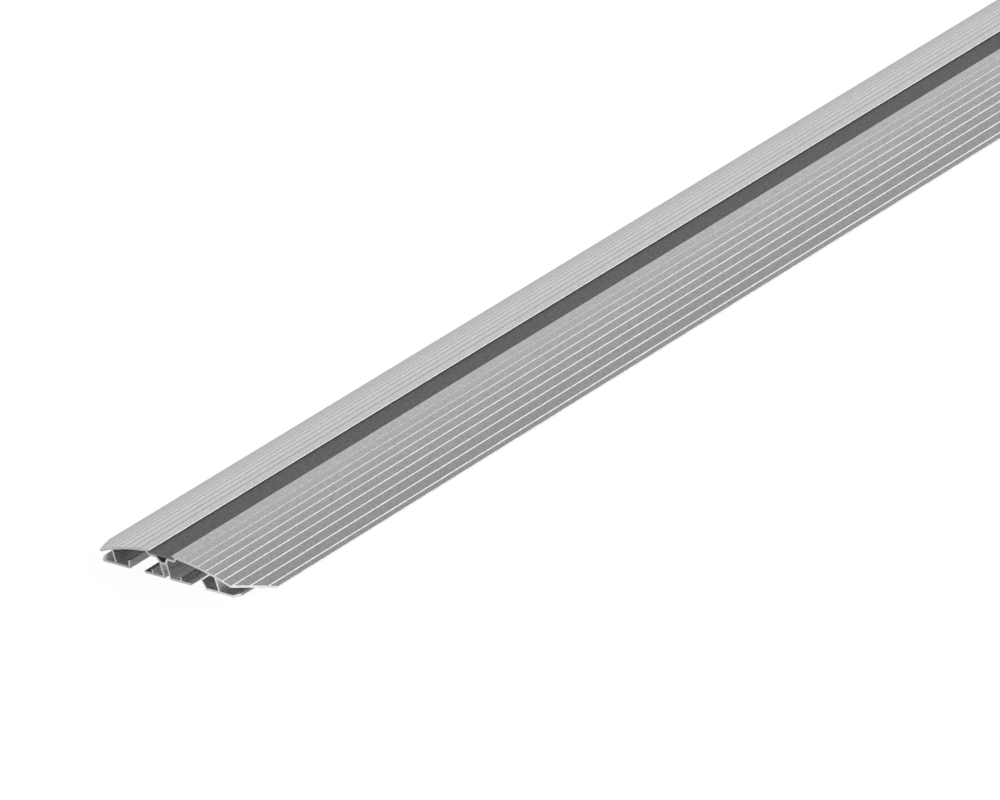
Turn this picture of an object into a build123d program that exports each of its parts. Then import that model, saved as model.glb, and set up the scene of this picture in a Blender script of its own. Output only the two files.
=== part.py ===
"""Floor threshold strip: a low aluminium bridge with a dark cover strip let into its crown.

Frame: X runs along the strip, Y across it, Z up. The origin is on the floor under the
middle of the strip. All sizes are millimetres.

The body is one extrusion of constant section, so the whole section is drawn first, in the
YZ plane, and pushed along X. Every feature of the section is made for one side and mirrored.
"""
from build123d import *
from math import asin, degrees, hypot, sqrt
import os

# --- overall sizes -------------------------------------------------------------------------
LENGTH = 1000.0
WIDTH = 150.0
CROWN_HEIGHT = 16.8        # height that the arched top would have at its middle
CROWN_RADIUS = 185.0       # outer radius of the arched top
SKIN = 1.4                 # thickness of the arched top, the feet and the trough
WEB = 1.5                  # thickness of the upright webs
CORNER_ROUND = 0.15        # rounding on the corners of the section
CUT_ALONG = 18.5           # the cut across each of the four corners in plan
CUT_ACROSS = 17.2

# --- grip grooves in the arched top --------------------------------------------------------
GROOVE_COUNT = 9           # on each side
GROOVE_PITCH = 6.93        # measured along the arc
GROOVE_FIRST = 18.3        # distance of the innermost groove from the middle
GROOVE_DEPTH = 0.5         # the groove's flanks stand at 90 degrees to each other

# --- trough for the cover strip, and the screw channel below it ----------------------------
LEDGE_HEIGHT = 13.9        # top of the two ledges that carry the cover strip
LEDGE_END = 11.5           # inner face of the trough's side wall
LIP_EDGE = 9.8             # the lips hook over the cover strip as far as this
LIP_UNDERSIDE = 15.75
LIP_BEVEL_ACROSS = 0.25    # steep bevel along the lips' upper edges
LIP_BEVEL_DOWN = 0.5
WALL_HEAD = 13.7           # where the outside of the side wall runs into the arched top
CHANNEL_HALF = 1.4         # half of the flat at the bottom of the screw channel
CHANNEL_DEPTH = 3.4        # below the ledges, between 45 degree flanks

# --- webs and feet -------------------------------------------------------------------------
CENTRE_WEB = 2.1           # inner face of the webs beside the screw channel
CENTRE_FOOT_END = 20.3
HEEL_ROUND = 1.0           # under the webs, where the centre feet begin
STUB_PLACE = 12.75         # middle of the short cable stop on the centre foot
STUB_HEIGHT = 3.7
STUB_THICKNESS = 1.2
OUTER_WEB = 45.0           # inner face of the outer web
OUTER_FOOT_START = 33.9
OUTER_FOOT_END = 61.0
HOOK_HEIGHT = 5.5          # leaning cable stop at the inner end of the outer foot
HOOK_THICKNESS = 1.5
HOOK_LEAN = 2.4            # how far its top leans towards the middle

# --- fixing holes in the screw channel -----------------------------------------------------
HOLE_RADIUS = 2.05         # clearance for a 4 mm countersunk screw
HOLE_COUNT = 4
HOLE_PITCH = 300.0

# --- cover strip ---------------------------------------------------------------------------
COVER_HALF = 11.2
COVER_THICKNESS = 1.5

# --- worked out from the sizes above -------------------------------------------------------
HALF_WIDTH = WIDTH / 2
ARC_CENTRE = CROWN_HEIGHT - CROWN_RADIUS
INNER_RADIUS = CROWN_RADIUS - SKIN
LEDGE_UNDERSIDE = LEDGE_HEIGHT - SKIN
CHANNEL_FLOOR = LEDGE_HEIGHT - CHANNEL_DEPTH


def arc_height(radius, y):
    """Height of an arc of the arched top at a distance y from the middle."""
    return ARC_CENTRE + sqrt(radius**2 - y**2)


def outline(*points):
    """A filled shape with straight sides through the given (y, z) points."""
    return make_face(Polyline(*points, close=True))


def block(y_low, y_high, z_low, z_high):
    """A rectangle of the section between two pairs of limits."""
    middle = Pos((y_low + y_high) / 2, (z_low + z_high) / 2)
    return middle * Rectangle(y_high - y_low, z_high - z_low)


def both_sides(shape):
    """The shape and its mirror image across the middle of the strip."""
    return shape + mirror(shape, about=Plane.YZ)


def arched_top():
    """The curved skin from one toe to the other, with solid toes."""
    ring = Pos(0, ARC_CENTRE) * (Circle(CROWN_RADIUS) - Circle(INNER_RADIUS))
    skin = ring & block(-HALF_WIDTH, HALF_WIDTH, 0, CROWN_HEIGHT)
    toe_start = sqrt(INNER_RADIUS**2 - ARC_CENTRE**2)
    toe = block(toe_start, HALF_WIDTH, 0, arc_height(CROWN_RADIUS, HALF_WIDTH))
    return skin + both_sides(toe)


def groove(index):
    """One V groove, pointing at the arc's centre, with its mouth beyond the surface."""
    turn = asin(GROOVE_FIRST / CROWN_RADIUS) + index * GROOVE_PITCH / CROWN_RADIUS
    notch = outline((0, -GROOVE_DEPTH), (GROOVE_DEPTH * 2, GROOVE_DEPTH), (-GROOVE_DEPTH * 2, GROOVE_DEPTH))
    return Pos(0, ARC_CENTRE) * Rot(0, 0, -degrees(turn)) * Pos(0, CROWN_RADIUS) * notch


def lip_and_wall():
    """The lip over the cover strip and the wall that joins it to the ledge."""
    return outline(
        (LIP_EDGE, LIP_UNDERSIDE),
        (LEDGE_END, LIP_UNDERSIDE),
        (LEDGE_END, LEDGE_UNDERSIDE),
        (WALL_HEAD, arc_height(INNER_RADIUS, WALL_HEAD)),
        (WALL_HEAD, arc_height(CROWN_RADIUS, WALL_HEAD)),
        (LIP_EDGE, arc_height(CROWN_RADIUS, WALL_HEAD)),
    )


def ledge_and_channel():
    """The ledge under the cover strip, the 45 degree flank and the channel's floor."""
    flank_top = CHANNEL_HALF + CHANNEL_DEPTH
    step = SKIN * (sqrt(2) - 1)
    return outline(
        (0, CHANNEL_FLOOR),
        (CHANNEL_HALF, CHANNEL_FLOOR),
        (flank_top, LEDGE_HEIGHT),
        (LEDGE_END, LEDGE_HEIGHT),
        (LEDGE_END, LEDGE_UNDERSIDE),
        (flank_top + step, LEDGE_UNDERSIDE),
        (CENTRE_WEB + WEB / 2, CHANNEL_FLOOR - SKIN),
        (0, CHANNEL_FLOOR - SKIN),
    )


def centre_leg():
    """The web beside the screw channel, its foot and the short cable stop on it."""
    web = block(CENTRE_WEB, CENTRE_WEB + WEB, 0, CHANNEL_FLOOR + SKIN / 2)
    foot = block(CENTRE_WEB, CENTRE_FOOT_END, 0, SKIN)
    stub = block(STUB_PLACE - STUB_THICKNESS / 2, STUB_PLACE + STUB_THICKNESS / 2, 0, STUB_HEIGHT)
    return web + foot + stub


def outer_leg():
    """The outer web, its foot and the leaning cable stop at the foot's inner end."""
    web = block(OUTER_WEB, OUTER_WEB + WEB, 0, arc_height(CROWN_RADIUS - SKIN / 2, OUTER_WEB))
    foot = block(OUTER_FOOT_START, OUTER_FOOT_END, 0, SKIN)
    hook = outline(
        (OUTER_FOOT_START, 0),
        (OUTER_FOOT_START + HOOK_THICKNESS, 0),
        (OUTER_FOOT_START + HOOK_THICKNESS - HOOK_LEAN, HOOK_HEIGHT),
        (OUTER_FOOT_START - HOOK_LEAN, HOOK_HEIGHT),
    )
    return web + foot + hook


def corners_at(section, y, z):
    """The two corners of the section, one on each side, at a given place."""
    return section.vertices().filter_by(lambda corner: hypot(abs(corner.X) - y, corner.Y - z) < 0.01)


def rounded(section):
    """Rounds the heels softly, and all other corners of the section slightly."""
    heel = (CENTRE_WEB, 0)
    section = fillet(section.vertices() - corners_at(section, *heel), CORNER_ROUND)
    return fillet(corners_at(section, *heel), HEEL_ROUND)


def mouth():
    """The opening between the lips, which widens where their upper edges are bevelled."""
    bevel_foot = arc_height(CROWN_RADIUS, LIP_EDGE) - LIP_BEVEL_DOWN
    return outline(
        (0, LEDGE_HEIGHT),
        (LIP_EDGE, LEDGE_HEIGHT),
        (LIP_EDGE, bevel_foot),
        (LIP_EDGE + 2 * LIP_BEVEL_ACROSS, bevel_foot + 2 * LIP_BEVEL_DOWN),
        (0, bevel_foot + 2 * LIP_BEVEL_DOWN),
    )


def profile_section():
    """The whole section of the extrusion, with grooves cut and every corner rounded."""
    grooves = Sketch() + [groove(index) for index in range(GROOVE_COUNT)]
    side = lip_and_wall() + ledge_and_channel() + centre_leg() + outer_leg()
    seat = block(-LEDGE_END, LEDGE_END, LEDGE_HEIGHT, LIP_UNDERSIDE)
    section = arched_top() + both_sides(side) - seat - both_sides(mouth()) - both_sides(grooves)
    return rounded(section)


def along_strip(section):
    """Pushes a section of the YZ plane along X, over the whole length of the strip."""
    return extrude(Plane.YZ * section, amount=LENGTH / 2, both=True)


def corner_cutters():
    """Four upright prisms that take the corners off in plan."""
    corner = outline((0, 0), (-CUT_ALONG, 0), (0, -CUT_ACROSS))
    prism = extrude(Pos(LENGTH / 2, HALF_WIDTH) * corner, amount=CROWN_HEIGHT)
    pair = prism + mirror(prism, about=Plane.XZ)
    return pair + mirror(pair, about=Plane.YZ)


def fixing_holes():
    """Drills for the screws, down through the floor of the channel."""
    drill = Cylinder(HOLE_RADIUS, LEDGE_HEIGHT, align=(Align.CENTER, Align.CENTER, Align.MIN))
    return [place * drill for place in GridLocations(HOLE_PITCH, 0, HOLE_COUNT, 1)]


def strip_profile():
    """The aluminium extrusion, cut to length, cornered and drilled."""
    return along_strip(profile_section()) - corner_cutters() - fixing_holes()


def cover_strip():
    """The dark strip that lies on the ledges, under the lips, and hides the screws."""
    band = Pos(0, LEDGE_HEIGHT + COVER_THICKNESS / 2) * Rectangle(2 * COVER_HALF, COVER_THICKNESS)
    return along_strip(fillet(band.vertices(), CORNER_ROUND))


os.makedirs("parts", exist_ok=True)
export_step(strip_profile(), "parts/strip_profile.step")
export_step(cover_strip(), "parts/cover_strip.step")
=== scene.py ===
import bpy
from math import cos, radians, sin
from mathutils import Euler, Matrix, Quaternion, Vector


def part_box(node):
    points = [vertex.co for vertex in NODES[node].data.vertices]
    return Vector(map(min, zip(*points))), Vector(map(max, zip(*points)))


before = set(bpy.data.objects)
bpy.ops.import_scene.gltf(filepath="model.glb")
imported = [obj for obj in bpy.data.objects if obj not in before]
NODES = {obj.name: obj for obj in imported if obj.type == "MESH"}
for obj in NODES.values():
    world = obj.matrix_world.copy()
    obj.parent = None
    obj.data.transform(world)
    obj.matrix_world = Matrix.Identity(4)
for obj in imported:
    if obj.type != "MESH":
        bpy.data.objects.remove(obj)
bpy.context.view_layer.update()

STRIP_LOW, STRIP_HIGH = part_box("strip_profile")
MM = 0.001

# The camera looks from the near end, the -X one, over the -Y side of the strip.
VIEW_AZIMUTH = -35.45
VIEW_ELEVATION = 23.56
VIEW_ROLL = -15.76
VIEW_DISTANCE = 4.553
VIEW_ALONG = 0.2295        # from the near end to the point in the middle of the picture
VIEW_ACROSS = -0.0251
VIEW_REACH = 100
LENS = 292.7
SENSOR = 36.0

# Studio: brightness of the dome by the sine of the elevation, of the softbox, and of the floor.
DOME = [(0.0, 0.84), (0.15, 0.80), (0.30, 0.74), (0.52, 0.59), (0.80, 0.40), (0.85, 0.33), (1.0, 0.30)]
SOFTBOX = 1.3
SOFTBOX_TURN = 38.0        # from -Y towards +X
SOFTBOX_RISE = 16.0
SOFTBOX_CORE = 18.0        # half angle that is fully bright
SOFTBOX_EDGE = 29.5        # half angle where it has faded into the dome
FLOOR_SEEN = 1.1           # by the camera
FLOOR_FRONT = 1.25         # in front of the strip, as the metal mirrors it: a painted pool of light
FLOOR_BEHIND = 0.62
FLOOR_UNDER = 0.24         # painted shade, where the strip's own shade falls
FLOOR_DEEP = 1.6           # the same, raised as painted light for light that has bounced inside the chambers
DEEP_BOUNCES = (2, 4)      # FLOOR_UNDER holds up to the first, FLOOR_DEEP from the second on
FLOOR_GLOW = 0.85          # share of the floor that glows, the studio lights the rest
FLOOR_GREY = 0.85
FLOOR_ROUGHNESS = 0.9

# Where the floor's painted light and painted shade change.
FLOOR_SIZE = 30
FLOOR_GAP = 0.1 * MM       # keeps it clear of the feet, which end at the same height
FRONT_ENDS = -0.07         # along Y
BEHIND_BEGINS = 0.03
SHADE_FADE = 0.012         # ends at the strip's front edge, and starts at its back edge
END_FADE = 0.004           # to both sides of each end
CORNER_NORMAL = (0.68, -0.73)   # of the two cut corners in front
CORNER_CUT = 0.3822        # how far out they lie, along that normal

# How many features the materials' noises have per metre, along X, Y and Z.
DIE_LINES = (1.5, 1400, 1400)
BANDS = (0.8, 90, 90)
METAL_PITS = (2600, 2600, 2600)
METAL_MOTTLE = (650, 650, 650)
HANDLING = (14, 30, 30)
COVER_GRAIN = (1700, 1700, 1700)
COVER_MOTTLE = (450, 450, 450)
COVER_PATCHES = (6, 25, 25)
CONTRAST = (0.3, 0.7)      # the part of a noise's range that is stretched over the whole

# Greys, roughness and relief of the materials. Shares say how much each of two noises counts.
TINT = 1.006               # blue over the other two colours
STREAK_SHARES = (0.6, 0.4)      # die lines, bands
METAL_SHARES = (0.7, 0.3)       # mottle, streaks
METAL_GREYS = (0.635, 0.875)
METAL_ROUGHNESS = (0.21, 0.29)
METAL_WEAR = 0.06          # roughness that handling adds
METAL_RELIEF = 0.05 * MM
DIE_LINE_STRENGTH = 0.12
PIT_STRENGTH = 0.10
SAW_CUT_ROUGHNESS = 0.42
SAW_CUT_FACING = (0.3, 0.5)     # how far along X a face looks before it counts as a cut
COVER_SHARES = (0.8, 0.2)       # mottle, patches
COVER_GREYS = (0.133, 0.221)
COVER_ROUGHNESS = (0.56, 0.64)
COVER_RELIEF = 0.08 * MM
COVER_STRENGTH = 0.35

scene = bpy.context.scene


def neutral(tone, tint=1.0):
    """A grey as a colour."""
    return (tone, tone, tone * tint, 1)


class Shader:
    """A node tree of a material or a world, with short calls for adding and joining nodes."""

    def __init__(self, owner):
        owner.use_nodes = True
        self.tree = owner.node_tree

    def add(self, kind, *sources, **settings):
        """Adds a node. Sources join its inputs in order, and settings are sockets or properties."""
        node = self.tree.nodes.new("ShaderNode" + kind)
        for key, value in settings.items():
            if hasattr(node, key):
                setattr(node, key, value)
            else:
                node.inputs[key.replace("_", " ")].default_value = value
        for source, socket in zip(sources, node.inputs):
            self.feed(source, socket)
        return node

    def feed(self, source, socket):
        """Joins an output to a socket, or sets the socket to a plain value."""
        if isinstance(source, bpy.types.Node):
            source = source.outputs[0]
        if isinstance(source, bpy.types.NodeSocket):
            self.tree.links.new(source, socket)
        elif source is not None:
            socket.default_value = source

    def math(self, operation, *sources):
        return self.add("Math", *sources, operation=operation)

    def ramp(self, source, low, high, to_low=0.0, to_high=1.0):
        """Turns a value from one range into another, smoothly, and never beyond it."""
        return self.add("MapRange", source, low, high, to_low, to_high, interpolation_type="SMOOTHSTEP")

    def weigh(self, first, second, shares):
        """Adds two values, each times its own share."""
        return self.math("MULTIPLY_ADD", first, shares[0], self.math("MULTIPLY", second, shares[1]))

    def mix(self, factor, low, high, data_type="FLOAT"):
        """Goes from low to high as the factor goes from 0 to 1."""
        node = self.add("Mix", data_type=data_type)
        for name, source in (("Factor", factor), ("A", low), ("B", high)):
            self.feed(source, node.inputs[name])
        return node.outputs["Result"]


class Material(Shader):
    """A new material around its Principled shader."""

    def __init__(self, name):
        self.material = bpy.data.materials.new(name)
        super().__init__(self.material)
        self.surface = self.tree.nodes["Principled BSDF"]
        self.output = self.tree.nodes["Material Output"]
        self.place = self.add("TexCoord").outputs["Object"]

    def set(self, **sockets):
        for key, source in sockets.items():
            self.feed(source, self.surface.inputs[key.replace("_", " ")])

    def noise(self, stretch, detail=2.0):
        """Noise with so many features per metre along X, Y and Z, from 0 to 1."""
        scaled = self.add("VectorMath", self.place, stretch, operation="MULTIPLY")
        return self.add("TexNoise", scaled, Scale=1.0, Detail=detail)

    def grey(self, source, dark, light):
        """A neutral colour between two greys, picked by a value from 0 to 1."""
        return self.mix(source, neutral(dark, TINT), neutral(light, TINT), "RGBA")

    def bump(self, height, strength, distance, under=None):
        """Relief from a height of 0 to 1, on top of another relief if one is given."""
        node = self.add("Bump", Strength=strength, Distance=distance)
        self.feed(height, node.inputs["Height"])
        self.feed(under, node.inputs["Normal"])
        return node


# --- materials ------------------------------------------------------------------------------
def aluminium():
    """Satin anodised extrusion, with lengthwise die lines, a mottled grain and saw-cut ends."""
    m = Material("anodised_aluminium")
    die_lines = m.noise(DIE_LINES, detail=3.0)
    streaks = m.weigh(die_lines, m.noise(BANDS), STREAK_SHARES)
    mottle = m.ramp(m.noise(METAL_MOTTLE), *CONTRAST)
    m.set(Metallic=1.0, Base_Color=m.grey(m.weigh(mottle, streaks, METAL_SHARES), *METAL_GREYS))

    extruded = m.ramp(streaks, *CONTRAST, *METAL_ROUGHNESS)
    worn = m.math("MULTIPLY_ADD", m.noise(HANDLING, detail=3.0), METAL_WEAR, extruded)
    facing = m.add("SeparateXYZ", m.add("TexCoord").outputs["Normal"]).outputs["X"]
    cut = m.ramp(m.math("ABSOLUTE", facing), *SAW_CUT_FACING)
    m.set(Roughness=m.mix(cut, worn, SAW_CUT_ROUGHNESS))

    lines = m.bump(die_lines, DIE_LINE_STRENGTH, METAL_RELIEF)
    pits = m.noise(METAL_PITS, detail=1.0)
    m.set(Normal=m.bump(pits, PIT_STRENGTH, METAL_RELIEF, under=lines))
    return m.material


def cover_plastic():
    """Matte dark grey soft plastic with a fine moulded grain."""
    m = Material("cover_plastic")
    patches = m.noise(COVER_PATCHES, detail=3.0)
    mottle = m.ramp(m.noise(COVER_MOTTLE), *CONTRAST)
    m.set(Base_Color=m.grey(m.weigh(mottle, patches, COVER_SHARES), *COVER_GREYS))
    m.set(Roughness=m.ramp(patches, *CONTRAST, *COVER_ROUGHNESS))
    m.set(Normal=m.bump(m.noise(COVER_GRAIN), COVER_STRENGTH, COVER_RELIEF))
    return m.material


def dress(node, material):
    for slot in NODES[node].material_slots:
        slot.material = material


# --- studio ---------------------------------------------------------------------------------
def floor():
    """A pale table, clear from below. The camera sees it evenly white. The metal sees it bright in
    front,
    duller behind, and dark under the strip: a painted pool of light and painted shade in its glow."""
    bpy.ops.mesh.primitive_plane_add(size=FLOOR_SIZE, location=(0, 0, -FLOOR_GAP))
    plane = bpy.context.object
    plane.name = "studio_floor"
    m = Material("studio_floor")
    m.set(Base_Color=neutral(FLOOR_GREY), Roughness=FLOOR_ROUGHNESS)
    ray = m.add("LightPath")
    place = m.add("SeparateXYZ", m.place)
    across = place.outputs["Y"]
    along = m.math("ABSOLUTE", place.outputs["X"])

    # the mask of the painted shade under the strip
    shade_half = STRIP_HIGH.y - SHADE_FADE / 2
    off_centre = m.math("ABSOLUTE", m.math("SUBTRACT", across, SHADE_FADE / 2))
    beside = m.ramp(off_centre, shade_half, shade_half + SHADE_FADE)
    beyond = m.ramp(along, STRIP_HIGH.x - END_FADE, STRIP_HIGH.x + END_FADE)
    cornered = m.ramp(m.weigh(along, across, CORNER_NORMAL), CORNER_CUT, CORNER_CUT + MM)
    outside = m.math("MAXIMUM", m.math("MAXIMUM", beside, beyond), cornered)

    # painted shade under the strip, turning to painted light for rays that have bounced inside the
    # chambers
    shaded = m.ramp(ray.outputs["Ray Depth"], *DEEP_BOUNCES, FLOOR_UNDER, FLOOR_DEEP)
    # painted pool of light in front of the strip, duller behind it
    open_floor = m.ramp(across, FRONT_ENDS, BEHIND_BEGINS, FLOOR_FRONT, FLOOR_BEHIND)
    mirrored = m.mix(outside, shaded, open_floor)
    strength = m.mix(ray.outputs["Is Camera Ray"], mirrored, FLOOR_SEEN)
    glow = m.add("Emission")
    m.feed(strength, glow.inputs["Strength"])
    top = m.add("MixShader", FLOOR_GLOW, m.surface, glow)
    from_below = m.add("NewGeometry").outputs["Backfacing"]
    m.feed(m.add("MixShader", from_below, top, m.add("BsdfTransparent")), m.output.inputs["Surface"])
    plane.data.materials.append(m.material)


def light():
    """A soft dome, brightest at the horizon, and one low softbox in front of the strip."""
    world = bpy.data.worlds.new("studio")
    scene.world = world
    s = Shader(world)
    direction = s.add("TexCoord").outputs["Generated"]
    dome = s.add("ValToRGB", s.add("SeparateXYZ", direction).outputs["Z"])
    stops = dome.color_ramp
    stops.interpolation = "EASE"
    while len(stops.elements) < len(DOME):
        stops.elements.new(0.5)     # moved to its place below
    for element, (place, tone) in zip(stops.elements, DOME):
        element.position = place
        element.color = neutral(tone)
    turn, lift = radians(SOFTBOX_TURN), radians(SOFTBOX_RISE)
    centre = (sin(turn) * cos(lift), -cos(turn) * cos(lift), sin(lift))
    near = s.add("VectorMath", direction, centre, operation="DOT_PRODUCT").outputs["Value"]
    share = s.ramp(near, cos(radians(SOFTBOX_EDGE)), cos(radians(SOFTBOX_CORE)))
    sky = s.mix(share, dome, neutral(SOFTBOX), "RGBA")
    s.feed(sky, s.tree.nodes["Background"].inputs["Color"])


def camera():
    data = bpy.data.cameras.new("photo_view")
    data.lens = LENS
    data.sensor_width = SENSOR
    data.clip_end = VIEW_REACH
    obj = bpy.data.objects.new("photo_view", data)
    scene.collection.objects.link(obj)
    turn = Euler((radians(90 - VIEW_ELEVATION), 0, radians(VIEW_AZIMUTH))).to_quaternion()
    roll = Quaternion((0, 0, 1), radians(VIEW_ROLL))
    obj.rotation_mode = "QUATERNION"
    obj.rotation_quaternion = turn @ roll
    target = Vector((STRIP_LOW.x + VIEW_ALONG, VIEW_ACROSS, 0))
    obj.location = target - (turn @ Vector((0, 0, -1))) * VIEW_DISTANCE
    scene.camera = obj


dress("strip_profile", aluminium())
dress("cover_strip", cover_plastic())
floor()
light()
camera()
scene.view_settings.view_transform = "Standard"
